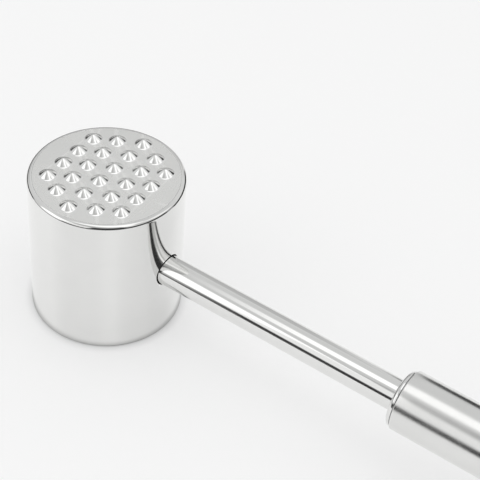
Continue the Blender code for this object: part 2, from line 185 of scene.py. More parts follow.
def settle(piece: bpy.types.Object) -> bpy.types.Object:
    """Turns a piece's modifiers into its mesh.

    Args:
        piece: The object, which is replaced where it is a curve.

    Returns:
        The object with a plain mesh.
    """
    bpy.context.view_layer.update()
    depsgraph = bpy.context.evaluated_depsgraph_get()
    mesh = bpy.data.meshes.new_from_object(piece.evaluated_get(depsgraph), depsgraph=depsgraph)
    if piece.type == "MESH":
        piece.modifiers.clear()
        piece.data = mesh
        return piece
    name = piece.name
    bpy.data.objects.remove(piece)
    return new_piece(name, mesh)


def cut(piece: bpy.types.Object, cutters: Sequence[bpy.types.Mesh]) -> None:
    """Cuts meshes out of a piece.

    Args:
        piece: The piece.
        cutters: Closed meshes that are taken away.
    """
    tools = [new_piece("cutter", cutter) for cutter in cutters]
    for tool in tools:
        modifier = piece.modifiers.new("Cut", "BOOLEAN")
        modifier.operation = "DIFFERENCE"
        modifier.solver = "EXACT"
        modifier.object = tool
    settle(piece)
    for tool in tools:
        bpy.data.objects.remove(tool)


def turn_outwards(piece: bpy.types.Object, merge: bool = False) -> int:
    """Turns a piece's faces outwards.

    Args:
        piece: The piece.
        merge: Whether doubled points are merged first.

    Returns:
        The number of edges that are left open.
    """
    shape = bmesh.new()
    shape.from_mesh(piece.data)
    if merge:
        bmesh.ops.remove_doubles(shape, verts=shape.verts, dist=MERGE_DISTANCE)
    bmesh.ops.recalc_face_normals(shape, faces=shape.faces)
    open_edges = sum(1 for edge in shape.edges if not edge.is_manifold)
    shape.to_mesh(piece.data)
    shape.free()
    return open_edges


def smooth(piece: bpy.types.Object, weighted: bool = False) -> None:
    """Shades a piece smooth between its sharp edges.

    Args:
        piece: The piece.
        weighted: Whether large faces decide the normals, which keeps a cut surface even.
    """
    piece.data.shade_smooth()
    piece.data.set_sharp_from_angle(angle=SHARP_ANGLE)
    if weighted:
        modifier = piece.modifiers.new("Normals", "WEIGHTED_NORMAL")
        modifier.keep_sharp = True
        settle(piece)


def coat(piece: bpy.types.Object, *materials: bpy.types.Material) -> None:
    """Gives a piece its materials in the place of those that it has.

    Args:
        piece: The piece.
        materials: The materials, in the order of the mesh's material indices.
    """
    piece.data.materials.clear()
    for material in materials:
        piece.data.materials.append(material)


def place(piece: bpy.types.Object, node: str) -> None:
    """Puts a fine piece on the mallet in the place of its CAD node.

    Args:
        piece: The piece.
        node: Name of the CAD node that it stands for.
    """
    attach(piece, "root")
    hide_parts(node)
    LOG.info("%s: %d faces", piece.name, len(piece.data.polygons))


# Node trees


class NodeWriter:
    """Adds nodes to a tree and joins them.

    Attributes:
        tree: The tree.
    """

    def __init__(self, tree: bpy.types.NodeTree) -> None:
        """Takes the tree to write in."""
        self.tree = tree

    def feed(self, socket: bpy.types.NodeSocket, value: object) -> None:
        """Joins a socket to another, or sets its value.

        Args:
            socket: The input socket.
            value: The output socket that it is joined to, or its value.
        """
        if isinstance(value, bpy.types.NodeSocket):
            self.tree.links.new(value, socket)
        else:
            socket.default_value = value

    def node(
        self, kind: str, settings: dict[str, object] | None = None, *values: object, **named: object
    ) -> bpy.types.Node:
        """Adds a node and joins or sets its inputs.

        Args:
            kind: Blender's name of the node's type.
            settings: Properties of the node.
            values: Value or socket for the first inputs, in their order.
            named: Value or socket for other inputs, by name with spaces as underscores.

        Returns:
            The node.
        """
        node = self.tree.nodes.new(kind)
        for key, value in (settings or {}).items():
            setattr(node, key, value)
        for socket, value in zip(node.inputs, values):
            self.feed(socket, value)
        for key, value in named.items():
            self.feed(node.inputs[key.replace("_", " ")], value)
        return node

    def result(
        self, kind: str, settings: dict[str, object] | None = None, *values: object, **named: object
    ) -> bpy.types.NodeSocket:
        """Adds a node, as node() does, and gives its first output."""
        return self.node(kind, settings, *values, **named).outputs[0]

    def math(self, operation: str, *values: object) -> bpy.types.NodeSocket:
        """Adds a Math node and gives its output."""
        return self.result("ShaderNodeMath", {"operation": operation}, *values)

    def vectors(self, operation: str, *values: object) -> bpy.types.Node:
        """Adds a Vector Math node."""
        return self.node("ShaderNodeVectorMath", {"operation": operation}, *values)

    def spread(
        self,
        value: object,
        low: object,
        high: object,
        to_low: object = 0.0,
        to_high: object = 1.0,
        eased: bool = False,
    ) -> bpy.types.NodeSocket:
        """Adds a Map Range node.

        Args:
            value: The value.
            low: Where its range starts.
            high: Where its range ends.
            to_low: What the start becomes.
            to_high: What the end becomes.
            eased: Whether the result leaves both ends smoothly.

        Returns:
            The output.
        """
        way = "SMOOTHSTEP" if eased else "LINEAR"
        parts = {"From_Min": low, "From_Max": high, "To_Min": to_low, "To_Max": to_high}
        return self.result("ShaderNodeMapRange", {"interpolation_type": way}, Value=value, **parts)

    def mix(self, share: object, low: object, high: object) -> bpy.types.NodeSocket:
        """Adds a Mix node for colours.

        Args:
            share: Share of the second colour.
            low: First colour.
            high: Second colour.

        Returns:
            The output for colours.
        """
        node = self.node("ShaderNodeMix", {"data_type": "RGBA"}, share)
        first, second = [socket for socket in node.inputs if socket.type == "RGBA"]
        self.feed(first, low)
        self.feed(second, high)
        return next(socket for socket in node.outputs if socket.type == "RGBA")

    def group(self, tree: bpy.types.NodeTree, **named: object) -> bpy.types.NodeSocket:
        """Places a node group in the tree and gives its output."""
        return self.result("ShaderNodeGroup", {"node_tree": tree}, **named)


class NodeGroup(NodeWriter):
    """Writes a node group with named inputs and one output.

    Attributes:
        identifiers: Blender's identifier of each input, by its name.
    """

    def __init__(self, name: str, kind: str, output: str, inputs: dict[str, str]) -> None:
        """Makes the group with its sockets.

        Args:
            name: Name of the group.
            kind: Blender's name of the tree's type.
            output: Kind of the output.
            inputs: Kind of each input, by its name.
        """
        super().__init__(bpy.data.node_groups.new(name, kind))
        self.identifiers: dict[str, str] = {}
        for label, sort in inputs.items():
            self.identifiers[label] = self._add_socket(label, "INPUT", sort).identifier
        self._add_socket("Result", "OUTPUT", output)
        self._given = self.tree.nodes.new("NodeGroupInput")
        self._result = self.tree.nodes.new("NodeGroupOutput")

    def _add_socket(self, name: str, side: str, kind: str) -> bpy.types.NodeTreeInterfaceSocket:
        """Adds a socket of a kind such as Float, Vector or Material to one side of the group."""
        return self.tree.interface.new_socket(name, in_out=side, socket_type=f"NodeSocket{kind}")

    def read(self, name: str) -> bpy.types.NodeSocket:
        """Gives the socket that a named input can be read from."""
        return self._given.outputs[name]

    def finish(self, result: bpy.types.NodeSocket) -> None:
        """Joins the result to the group's output."""
        self.feed(self._result.inputs[0], result)


class GeometryTree(NodeGroup):
    """Writes a Geometry Nodes tree with named inputs."""

    def __init__(self, name: str, inputs: dict[str, str]) -> None:
        """Makes the tree, whose first input is the piece's own geometry.

        Args:
            name: Name of the tree.
            inputs: Kind of each other input, by its name.
        """
        inputs = {"Geometry": "Geometry", **inputs}
        super().__init__(name, "GeometryNodeTree", "Geometry", inputs)

    def join(self, *parts: bpy.types.NodeSocket) -> bpy.types.NodeSocket:
        """Adds a Join Geometry node.

        Args:
            parts: The geometries that it joins.

        Returns:
            The output.
        """
        node = self.node("GeometryNodeJoinGeometry")
        for part in parts:
            self.feed(node.inputs[0], part)
        return node.outputs[0]

    def apply(self, piece: bpy.types.Object, values: dict[str, object]) -> bpy.types.Object:
        """Runs the tree on a piece and keeps the result as its plain mesh.

        Args:
            piece: The piece that the tree works on.
            values: Value of each named input.

        Returns:
            The piece with a plain mesh.
        """
        modifier = piece.modifiers.new(self.tree.name, "NODES")
        modifier.node_group = self.tree
        for name, value in values.items():
            modifier[self.identifiers[name]] = value
        return settle(piece)


# Finishes


class ShaderTools:
    """Shader node groups that the finishes share, each with one output.

    Attributes:
        clouds_range: Part of the noise that the handling marks use.
        rubbed_range: Pointiness of an edge that is just rubbed, and of one that is wholly rubbed.
        grain: Lines that a belt, a brush or a lathe tool leaves.
        marks: Faint clouds that wiping and handling leave.
        band: A soft upright stripe set by the angle round the Z axis, the mask of a painted dark
            reflection.
        wear: Mask of outer edges, which use rubs brighter.
    """

    clouds_range = (0.3, 0.7)
    rubbed_range = (0.51, 0.60)

    def __init__(self) -> None:
        """Builds the groups once."""
        self.grain = self._grain()
        self.marks = self._marks()
        self.band = self._band()
        self.wear = self._wear()

    @staticmethod
    def _group(name: str, **inputs: str) -> NodeGroup:
        """Makes an empty group whose output is a number."""
        return NodeGroup(name, "ShaderNodeTree", "Float", inputs)

    def _grain(self) -> bpy.types.NodeTree:
        """Builds the grain from noise that is stretched along the lines.

        Returns:
            The group.
        """
        group = self._group("Steel grain", Vector="Vector", Lines="Vector")
        scaled = group.vectors("MULTIPLY", group.read("Vector"), group.read("Lines")).outputs[0]
        noise = group.result(
            "ShaderNodeTexNoise", Vector=scaled, Scale=1.0, Detail=3.0, Roughness=0.62
        )
        group.finish(noise)
        return group.tree

    def _marks(self) -> bpy.types.NodeTree:
        """Builds the handling marks from soft noise.

        Returns:
            The group.
        """
        group = self._group("Handling marks", Vector="Vector", Scale="Float")
        noise = group.result(
            "ShaderNodeTexNoise",
            Vector=group.read("Vector"),
            Scale=group.read("Scale"),
            Detail=4.0,
            Roughness=0.55,
            Distortion=0.6,
        )
        group.finish(group.spread(noise, *self.clouds_range))
        return group.tree

    def _band(self) -> bpy.types.NodeTree:
        """Builds the mask of a painted dark reflection from the angle round the Z axis.

        Returns:
            The group.
        """
        group = self._group("Belt band", Vector="Vector", Direction="Vector", Edge="Float")
        level = group.vectors("MULTIPLY", group.read("Vector"), (1, 1, 0)).outputs[0]
        outward = group.vectors("NORMALIZE", level).outputs[0]
        nearness = group.vectors("DOT_PRODUCT", outward, group.read("Direction"))
        group.finish(group.spread(nearness.outputs["Value"], group.read("Edge"), 1.0, eased=True))
        return group.tree

    def _wear(self) -> bpy.types.NodeTree:
        """Builds the edge wear from the pointiness of the surface.

        Returns:
            The group.
        """
        group = self._group("Edge wear")
        pointiness = group.node("ShaderNodeNewGeometry").outputs["Pointiness"]
        group.finish(group.spread(pointiness, *self.rubbed_range, eased=True))
        return group.tree


@dataclass(frozen=True)
class PaintedReflectionBand:
    """One soft darker stripe painted on a round side, which stands in for a dark reflection of the
    surroundings.

    Attributes:
        azimuth: Its middle in degrees, anticlockwise from +X seen from above.
        half_width: Degrees from its middle to where it ends.
        strength: How much darker its middle is, from 0 to 1.
    """

    azimuth: float
    half_width: float
    strength: float

    def darken(
        self,
        writer: NodeWriter,
        tools: ShaderTools,
        spot: bpy.types.NodeSocket,
        colour: bpy.types.NodeSocket,
    ) -> bpy.types.NodeSocket:
        """Darkens a colour along the band.

        Args:
            writer: Writer of the material.
            tools: The shared node groups.
            spot: Coordinates on the piece.
            colour: The colour so far.

        Returns:
            The colour with the band.
        """
        angle = math.radians(self.azimuth)
        mask = writer.group(
            tools.band,
            Vector=spot,
            Direction=(math.cos(angle), math.sin(angle), 0),
            Edge=math.cos(math.radians(self.half_width)),
        )
        # Paints the dark reflection into the colour.
        return writer.mix(writer.math("MULTIPLY", mask, self.strength), colour, (0, 0, 0, 1))


@dataclass(frozen=True)
class SteelFinish:
    """One way that the steel is finished.

    Attributes:
        name: Name of the material.
        colour: Colour of the clean metal.
        shade: Colour where grain and marks darken it.
        roughness: Lowest and highest roughness.
        lines: Grain lines per metre along X, Y and Z.
        depth: Depth of the grain.
        clouds: Scale of the handling marks.
        painted_reflection_bands: Soft darker stripes painted on the side as dark reflections of the
            surroundings.
        grain_share: Share of the grain, beside the marks, in what darkens and dulls the metal.
        dull_range: Amount of grain and marks at the lowest and at the highest roughness.
        rubbed_brightness: How much brighter a rubbed edge is.
        rubbed_gloss: Share of the lowest roughness that a rubbed edge loses.
    """

    name: str
    colour: Triple
    shade: Triple
    roughness: tuple[float, float]
    lines: Triple
    depth: float
    clouds: float
    painted_reflection_bands: tuple[PaintedReflectionBand, ...] = ()
    grain_share: float = 0.5
    dull_range: tuple[float, float] = (0.25, 0.75)
    rubbed_brightness: float = 1.04
    rubbed_gloss: float = 0.25

    def material(self, tools: ShaderTools) -> bpy.types.Material:
        """Makes the material.

        Args:
            tools: The shared node groups.

        Returns:
            The material.
        """
        material = bpy.data.materials.new(self.name)
        material.use_nodes = True
        writer = NodeWriter(material.node_tree)
        spot = writer.node("ShaderNodeTexCoord").outputs["Object"]
        grain = writer.group(tools.grain, Vector=spot, Lines=self.lines)
        marks = writer.group(tools.marks, Vector=spot, Scale=self.clouds)
        wear = writer.group(tools.wear)
        part = writer.math("MULTIPLY", marks, 1 - self.grain_share)
        blend = writer.math("MULTIPLY_ADD", grain, self.grain_share, part)

        colour = writer.mix(blend, (*self.colour, 1), (*self.shade, 1))
        # Painted dark reflections darken the colour in upright stripes.
        for band in self.painted_reflection_bands:
            colour = band.darken(writer, tools, spot, colour)
        bright = [min(self.rubbed_brightness * channel, 1.0) for channel in self.colour]

        dull = writer.spread(blend, *self.dull_range, *self.roughness)
        polish = -self.rubbed_gloss * self.roughness[0]
        bump = writer.node("ShaderNodeBump", Strength=1.0, Distance=self.depth, Height=grain)

        shader = material.node_tree.nodes["Principled BSDF"]
        writer.feed(shader.inputs["Metallic"], 1.0)
        writer.feed(shader.inputs["Base Color"], writer.mix(wear, colour, (*bright, 1)))
        writer.feed(shader.inputs["Roughness"], writer.math("MULTIPLY_ADD", wear, polish, dull))
        writer.feed(shader.inputs["Normal"], bump.outputs["Normal"])
        return material


POLISHED_HEAD = SteelFinish(
    name="polished_head",
    colour=(0.81, 0.81, 0.80),
    shade=(0.77, 0.77, 0.76),
    roughness=(0.05, 0.09),
    lines=(400, 400, 9000),
    depth=2e-7,
    clouds=60,
    # Painted dark reflections: the dark camera side and the handle's shadow on the floor, as the
    # side mirrors them.
    painted_reflection_bands=(
        PaintedReflectionBand(azimuth=-70, half_width=26, strength=0.075),
        PaintedReflectionBand(azimuth=-20, half_width=34, strength=0.10),
        PaintedReflectionBand(azimuth=178, half_width=30, strength=0.05),
        PaintedReflectionBand(azimuth=88, half_width=40, strength=0.05),
    ),
)
SATIN_LAND = SteelFinish(
    name="satin_land",
    colour=(0.84, 0.84, 0.825),
    shade=(0.80, 0.80, 0.785),
    roughness=(0.26, 0.30),
    lines=(2000, 500, 500),
    depth=1.5e-7,
    clouds=90,
)
CUT_TOOTH = SteelFinish(
    name="cut_tooth",
    colour=(0.86, 0.86, 0.85),
    shade=(0.80, 0.80, 0.79),
    roughness=(0.08, 0.14),
    lines=(1500, 1500, 9000),
    depth=4e-7,
    clouds=200,
)
POLISHED_ROD = SteelFinish(
    name="polished_rod",
    colour=(0.77, 0.77, 0.76),
    shade=(0.73, 0.73, 0.72),
    roughness=(0.06, 0.11),
    lines=(300, 6000, 6000),
    depth=3e-7,
    clouds=80,
)
BRUSHED_TUBE = SteelFinish(
    name="brushed_tube",
    colour=(0.755, 0.755, 0.745),
    shade=(0.70, 0.70, 0.69),
    roughness=(0.17, 0.24),
    lines=(150, 3500, 3500),
    depth=5e-7,
    clouds=70,
)
PLAIN_STEEL = SteelFinish(
    name="plain_steel",
    colour=(0.56, 0.56, 0.57),
    shade=(0.44, 0.44, 0.45),
    roughness=(0.30, 0.45),
    lines=(2500, 2500, 2500),
    depth=2e-6,
    clouds=200,
)


class Finishes:
    """Materials of the mallet, each made once.

    Attributes:
        head: Polished side of the head.
        land: Satin face between the teeth.
        tooth: Cut flanks of the teeth.
        rod: Polished rod, caps and loop.
        tube: Brushed tube.
        plain: Darker steel that is left as it was turned or drilled; in the seams of the caps its
            dark colour also paints the seam's shade.
    """

    def __init__(self) -> None:
        """Builds the shared groups and the materials."""
        tools = ShaderTools()
        self.head = POLISHED_HEAD.material(tools)
        self.land = SATIN_LAND.material(tools)
        self.tooth = CUT_TOOTH.material(tools)
        self.rod = POLISHED_ROD.material(tools)
        self.tube = BRUSHED_TUBE.material(tools)
        self.plain = PLAIN_STEEL.material(tools)


# Head


@dataclass
class ToothForm:
    """Section of one tooth: a cone whose foot runs out into the land in a wide hollow.

    Attributes:
        ring_radius: Where the tooth's own mesh meets the land.
        foot_radius: Where the hollow at the foot starts to rise.
        foot_rounding: Radius of that hollow.
        foot_slope: Slope in degrees where the hollow meets the flank.
        top_slope: Slope of the flank under the tip.
        tip_height: Height of the tip over the land.
        tip_rounding: Radius of the tip.
        foot_steps: Chords of the hollow.
        flank_steps: Chords of the flank.
        tip_steps: Chords of the tip's rounding.
    """

    ring_radius: float = 0.00325
    foot_radius: float = 0.00312
    foot_rounding: float = 0.00095
    foot_slope: float = 42.0
    top_slope: float = 31.0
    tip_height: float = 0.00189
    tip_rounding: float = 0.00100
    foot_steps: int = 14
    flank_steps: int = 16
    tip_steps: int = 6

    def section(self) -> list[Point]:
        """Gives the section from the land inwards to the axis.

        Returns:
            The points as (radius, height over the land).
        """
        rounding = self.foot_rounding
        middle = (self.foot_radius, rounding)
        hollow = arc(middle, rounding, -90, -90 - self.foot_slope, self.foot_steps)
        tip_centre = (0.0, self.tip_height - self.tip_rounding)
        cap = arc(tip_centre, self.tip_rounding, 90 - self.top_slope, 90, self.tip_steps)
        flank = self._flank(hollow[-1], cap[0])
        tip = (0.0, self.tip_height)
        return [(self.ring_radius, 0.0)] + hollow + flank + cap[1:-1] + [tip]

    def _flank(self, foot: Point, top: Point) -> list[Point]:
        """Gives the flank between the hollow and the tip, which leaves both without a kink.

        Args:
            foot: Where the hollow ends.
            top: Where the rounding of the tip starts.

        Returns:
            The points after the foot, up to the top.
        """
        steep = math.tan(math.radians(self.foot_slope))
        shallow = math.tan(math.radians(self.top_slope))
        bend = (foot[1] + foot[0] * steep - top[1] - top[0] * shallow) / (steep - shallow)
        corner = (bend, foot[1] + (foot[0] - bend) * steep)
        points = []
        for step in range(1, self.flank_steps + 1):
            share = step / self.flank_steps
            weights = ((1 - share) ** 2, 2 * share * (1 - share), share**2)
            points.append(
                tuple(
                    weights[0] * foot[axis] + weights[1] * corner[axis] + weights[2] * top[axis]
                    for axis in (0, 1)
                )
            )
        return points


@dataclass
class StrikingHead:
    """The head: a solid body with a rounded rim and the toothed disc that is let into its top.

    Attributes:
        radius: Radius of the body.
        height: Height of the body.
        rim_rounding: Radius of the upper edge.
        foot_rounding: Radius of the lower edge.
        seat_radius: Radius of the disc's seat.
        seat_gap: Width of the seam round the disc.
        seam_chamfer: Broken edge on both sides of the seam.
        disc_thickness: Thickness of the disc.
        disc_chamfer: Broken lower edge of the disc.
        disc_border: Width of the turned border round the disc's filled face.
        bore_radius: Radius of the bore for the rod.
        bore_start: Where the bore ends inside the head.
        bore_end: Where its cutter ends outside the head.
        bore_margin: How much wider than the bore the drilled finish reaches.
        mouth_margin: How far inside the head's side the drilled finish ends.
        screw_place: Where the set screw stands, from the head's axis.
        screw_hole_radius: Radius of its hole.
        screw_hole_reach: How far the cutter of that hole reaches over the seat.
        tooth_pitch: Distance between the teeth of a row.
        rows: Number of rows that are set out, before the reach cuts them.
        teeth_in_row: Number of teeth that are set out in a row.
        rows_turn: Angle in degrees by which the rows are turned from the line across the rod.
        inner_row_step: Distance from the middle row to the next.
        outer_row_step: Distance from that row to the last.
        tooth_reach: How far from the axis a tooth may stand.
        level_slope: Slope in degrees up to which a tooth keeps the finish of the land.
        columns: Columns of the body and the disc round their axis.
        bore_columns: Columns of the bore.
        small_columns: Columns of a tooth and of the screw's hole.
        seat_steps: Rows of the seat's wall.
        rim_steps: Chords of the rim's rounding.
        side_steps: Rows of the side.
        foot_steps: Chords of the foot's rounding, and rings of the base.
        edge_steps: Rows of the disc's side.
    """

    radius: float = 0.0250
    height: float = 0.0520
    rim_rounding: float = 0.0015
    foot_rounding: float = 0.0009
    seat_radius: float = 0.02328
    seat_gap: float = 0.00003
    seam_chamfer: float = 0.00002
    disc_thickness: float = 0.0060
    disc_chamfer: float = 0.0005
    disc_border: float = 0.0001
    bore_radius: float = 0.0054
    bore_start: float = 0.0077
    bore_end: float = 0.0300
    bore_margin: float = 1.02
    mouth_margin: float = 0.0008
    screw_place: float = 0.0160
    screw_hole_radius: float = 0.0033
    screw_hole_reach: float = 0.001
    tooth_pitch: float = 0.00764
    rows: int = 7
    teeth_in_row: int = 7
    rows_turn: float = 1.8
    inner_row_step: float = 0.007518
    outer_row_step: float = 0.00667
    tooth_reach: float = 0.01918
    level_slope: float = 3.0
    columns: int = 384
    bore_columns: int = 128
    small_columns: int = 48
    seat_steps: int = 6
    rim_steps: int = 16
    side_steps: int = 30
    foot_steps: int = 8
    edge_steps: int = 4

    def build_body(self, finishes: Finishes) -> None:
        """Builds the body with its seat, bore and screw hole.

        Args:
            finishes: Materials of the mallet.
        """
        seat_floor = self.height - self.disc_thickness - self.seat_gap
        seat_foot = (self.seat_radius, seat_floor)
        seat_top = (self.seat_radius, self.height - self.seam_chamfer)
        rim = (self.radius - self.rim_rounding, self.height - self.rim_rounding)
        foot = (self.radius - self.foot_rounding, self.foot_rounding)
        section = [(0.0, seat_floor), seat_foot]
        section += line(seat_foot, seat_top, self.seat_steps)
        section.append((self.seat_radius + self.seam_chamfer, self.height))
        section += arc(rim, self.rim_rounding, 90, 0, self.rim_steps)
        section += line((self.radius, rim[1]), (self.radius, foot[1]), self.side_steps)
        section += arc(foot, self.foot_rounding, 0, -90, self.foot_steps)[1:]
        section += line((foot[0], 0.0), (0.0, 0.0), self.foot_steps)
        body = new_piece("head_shell", lathe("head_shell", section, self.columns))

        bore_section = post(self.bore_radius, self.bore_start, self.bore_end)
        bore = lathe("bore", bore_section, self.bore_columns)
        bore.transform(rod_frame())
        hole_top = seat_floor + self.screw_hole_reach
        hole_section = post(self.screw_hole_radius, hole_top, ROD_AXIS_HEIGHT)
        hole = lathe("screw_hole", hole_section, self.small_columns)
        hole.transform(Matrix.Translation((self.screw_place, 0, 0)))
        cut(body, [bore, hole])
        smooth(body, weighted=True)
        coat(body, finishes.head, finishes.plain)
        for face in body.data.polygons:
            face.material_index = int(self._in_bore(face.center))
        place(body, "head_body")

    def _in_bore(self, point: Vector) -> bool:
        """Tells whether a point of the body lies in the rod's bore, which keeps its finish."""
        beside = off_rod_axis(point) < self.bore_margin * self.bore_radius
        return beside and 0 < point.x < self.radius - self.mouth_margin

    def build_disc(self, finishes: Finishes) -> None:
        """Builds the disc: a turned blank whose top the node tree fills in round the teeth.

        Args:
            finishes: Materials of the mallet.
        """
        form = ToothForm()
        edge = self.seat_radius - self.seat_gap
        bottom = self.height - self.disc_thickness
        face_radius = edge - self.disc_border
        shoulder = (edge, self.height - self.seam_chamfer)
        section = [(face_radius, self.height), (edge - self.seam_chamfer, self.height), shoulder]
        section += line(shoulder, (edge, bottom + self.disc_chamfer), self.edge_steps)
        section += [(edge - self.disc_chamfer, bottom), (0.0, bottom)]
        disc = new_piece("tooth_disc", lathe("tooth_disc", section, self.columns))
        tooth = new_piece("tooth_form", lathe("tooth_form", form.section(), self.small_columns))
        values = {
            "Tooth": tooth,
            "Pitch": self.tooth_pitch,
            "Turn": math.radians(self.rows_turn),
            "Inner Row Step": self.inner_row_step,
            "Outer Row Step": self.outer_row_step,
            "Reach": self.tooth_reach,
            "Rows": self.rows,
            "Teeth in Row": self.teeth_in_row,
            "Face Height": self.height,
            "Edge Radius": face_radius,
            "Edge Columns": self.columns,
            "Ring Radius": form.ring_radius,
            "Ring Columns": self.small_columns,
            "Level": math.cos(math.radians(self.level_slope)),
            "Land": finishes.land,
            "Cut": finishes.tooth,
        }
        self._tooth_tree().apply(disc, values)
        bpy.data.objects.remove(tooth)
        LOG.info("%s: %d open edges", disc.name, turn_outwards(disc))
        smooth(disc)
        place(disc, "toothed_disc")

    @staticmethod
    def _tooth_spots(tree: GeometryTree) -> bpy.types.NodeSocket:
        """Sets points out in staggered rows and keeps those within the reach.

        Args:
            tree: The tree.

        Returns:
            The points, at the height of the origin.
        """
        in_row = tree.read("Teeth in Row")
        points = tree.result(
            "GeometryNodePoints", Count=tree.math("MULTIPLY", tree.read("Rows"), in_row)
        )
        index = tree.result("GeometryNodeInputIndex")
        # The half keeps a point in its row when the division rounds.
        counted = tree.math("ADD", index, 0.5)
        row_number = tree.math("FLOOR", tree.math("DIVIDE", counted, in_row))
        column = tree.math("SUBTRACT", index, tree.math("MULTIPLY", row_number, in_row))
        half_rows = tree.math("FLOOR", tree.math("DIVIDE", tree.read("Rows"), 2.0))
        half_teeth = tree.math("FLOOR", tree.math("DIVIDE", in_row, 2.0))
        row = tree.math("SUBTRACT", row_number, half_rows)
        away = tree.math("ABSOLUTE", row)
        first_step = tree.math("MINIMUM", away, 1.0)
        inner = tree.math("MULTIPLY", first_step, tree.read("Inner Row Step"))
        more_steps = tree.math("MAXIMUM", tree.math("SUBTRACT", away, 1.0), 0.0)
        outer = tree.math("MULTIPLY", more_steps, tree.read("Outer Row Step"))
        x = tree.math("MULTIPLY", tree.math("ADD", inner, outer), tree.math("SIGN", row))
        odd = tree.math("FLOORED_MODULO", away, 2.0)
        shift = tree.math("MULTIPLY", tree.math("SUBTRACT", 1.0, odd), 0.5)
        number = tree.math("ADD", tree.math("SUBTRACT", column, half_teeth), shift)
        y = tree.math("MULTIPLY", number, tree.read("Pitch"))
        spot = tree.result(
            "ShaderNodeVectorRotate",
            {"rotation_type": "Z_AXIS"},
            Vector=tree.result("ShaderNodeCombineXYZ", X=x, Y=y),
            Angle=tree.read("Turn"),
        )
        squares = tree.math("ADD", tree.math("MULTIPLY", x, x), tree.math("MULTIPLY", y, y))
        outside = tree.result(
            "FunctionNodeCompare",
            {"data_type": "FLOAT", "operation": "GREATER_THAN"},
            A=tree.math("SQRT", squares),
            B=tree.read("Reach"),
        )
        kept = tree.node("GeometryNodeCaptureAttribute", {"domain": "POINT"}, Geometry=points)
        kept.capture_items.new("BOOLEAN", "Outside")
        tree.feed(kept.inputs["Outside"], outside)
        moved = tree.result(
            "GeometryNodeSetPosition", Geometry=kept.outputs["Geometry"], Position=spot
        )
        return tree.result(
            "GeometryNodeDeleteGeometry",
            {"domain": "POINT"},
            Geometry=moved,
            Selection=kept.outputs["Outside"],
        )

    @staticmethod
    def _circle(tree: GeometryTree, name: str) -> bpy.types.NodeSocket:
        """Gives the circle whose size and columns the inputs of that name hold."""
        sizes = {"Resolution": tree.read(f"{name} Columns"), "Radius": tree.read(f"{name} Radius")}
        return tree.result("GeometryNodeCurvePrimitiveCircle", **sizes)

    def _land(self, tree: GeometryTree, spots: bpy.types.NodeSocket) -> bpy.types.NodeSocket:
        """Fills the land between the disc's edge and the rings round the teeth.

        Args:
            tree: The tree.
            spots: Places of the teeth.

        Returns:
            The flat face, at the height of the origin.
        """
        rings = tree.result(
            "GeometryNodeInstanceOnPoints", Points=spots, Instance=self._circle(tree, "Ring")
        )
        real_rings = tree.result("GeometryNodeRealizeInstances", Geometry=rings)
        outline = tree.join(self._circle(tree, "Edge"), real_rings)
        return tree.result("GeometryNodeFillCurve", Curve=outline)

    def _tooth_tree(self) -> GeometryTree:
        """Builds the tree that sets the teeth out in rows and fills the land between them.

        Returns:
            The tree.
        """
        lengths = ("Pitch", "Inner Row Step", "Outer Row Step", "Reach", "Face Height")
        radii = ("Edge Radius", "Ring Radius")
        counts = ("Rows", "Teeth in Row", "Edge Columns", "Ring Columns")
        inputs = {"Tooth": "Object", "Land": "Material", "Cut": "Material"}
        inputs |= dict.fromkeys(("Turn", "Level") + lengths + radii, "Float")
        inputs |= dict.fromkeys(counts, "Int")
        tree = GeometryTree("Teeth in rows", inputs)

        spots = self._tooth_spots(tree)
        source = {"transform_space": "ORIGINAL"}
        given = tree.node("GeometryNodeObjectInfo", source, Object=tree.read("Tooth"))
        teeth = tree.result(
            "GeometryNodeInstanceOnPoints", Points=spots, Instance=given.outputs["Geometry"]
        )
        marked = tree.result(
            "GeometryNodeStoreNamedAttribute",
            {"data_type": "BOOLEAN", "domain": "FACE"},
            Geometry=tree.result("GeometryNodeRealizeInstances", Geometry=teeth),
            Name="cut",
            Value=True,
        )
        face = tree.join(self._land(tree, spots), marked)
        lift = tree.result("ShaderNodeCombineXYZ", Z=tree.read("Face Height"))
        raised = tree.result("GeometryNodeTransform", Geometry=face, Translation=lift)
        whole = tree.join(raised, tree.read("Geometry"))
        welded = tree.result("GeometryNodeMergeByDistance", Geometry=whole, Distance=WELD_DISTANCE)
        real = tree.result("GeometryNodeRealizeInstances", Geometry=welded)
        coated = tree.result("GeometryNodeSetMaterial", Geometry=real, Material=tree.read("Land"))
        is_tooth = tree.node(
            "GeometryNodeInputNamedAttribute", {"data_type": "BOOLEAN"}, Name="cut"
        ).outputs["Attribute"]
        normal = tree.result("GeometryNodeInputNormal")
        upward = tree.node("ShaderNodeSeparateXYZ", Vector=normal).outputs["Z"]
        sloped = tree.math("LESS_THAN", tree.math("ABSOLUTE", upward), tree.read("Level"))
        final = tree.result(
            "GeometryNodeSetMaterial",
            Geometry=coated,
            Selection=tree.math("MULTIPLY", is_tooth, sloped),
            Material=tree.read("Cut"),
        )
        tree.finish(final)
        return tree

    def build(self, finishes: Finishes) -> None:
        """Builds and dresses the head's pieces."""
        self.build_body(finishes)
        self.build_disc(finishes)


# Rod and handle


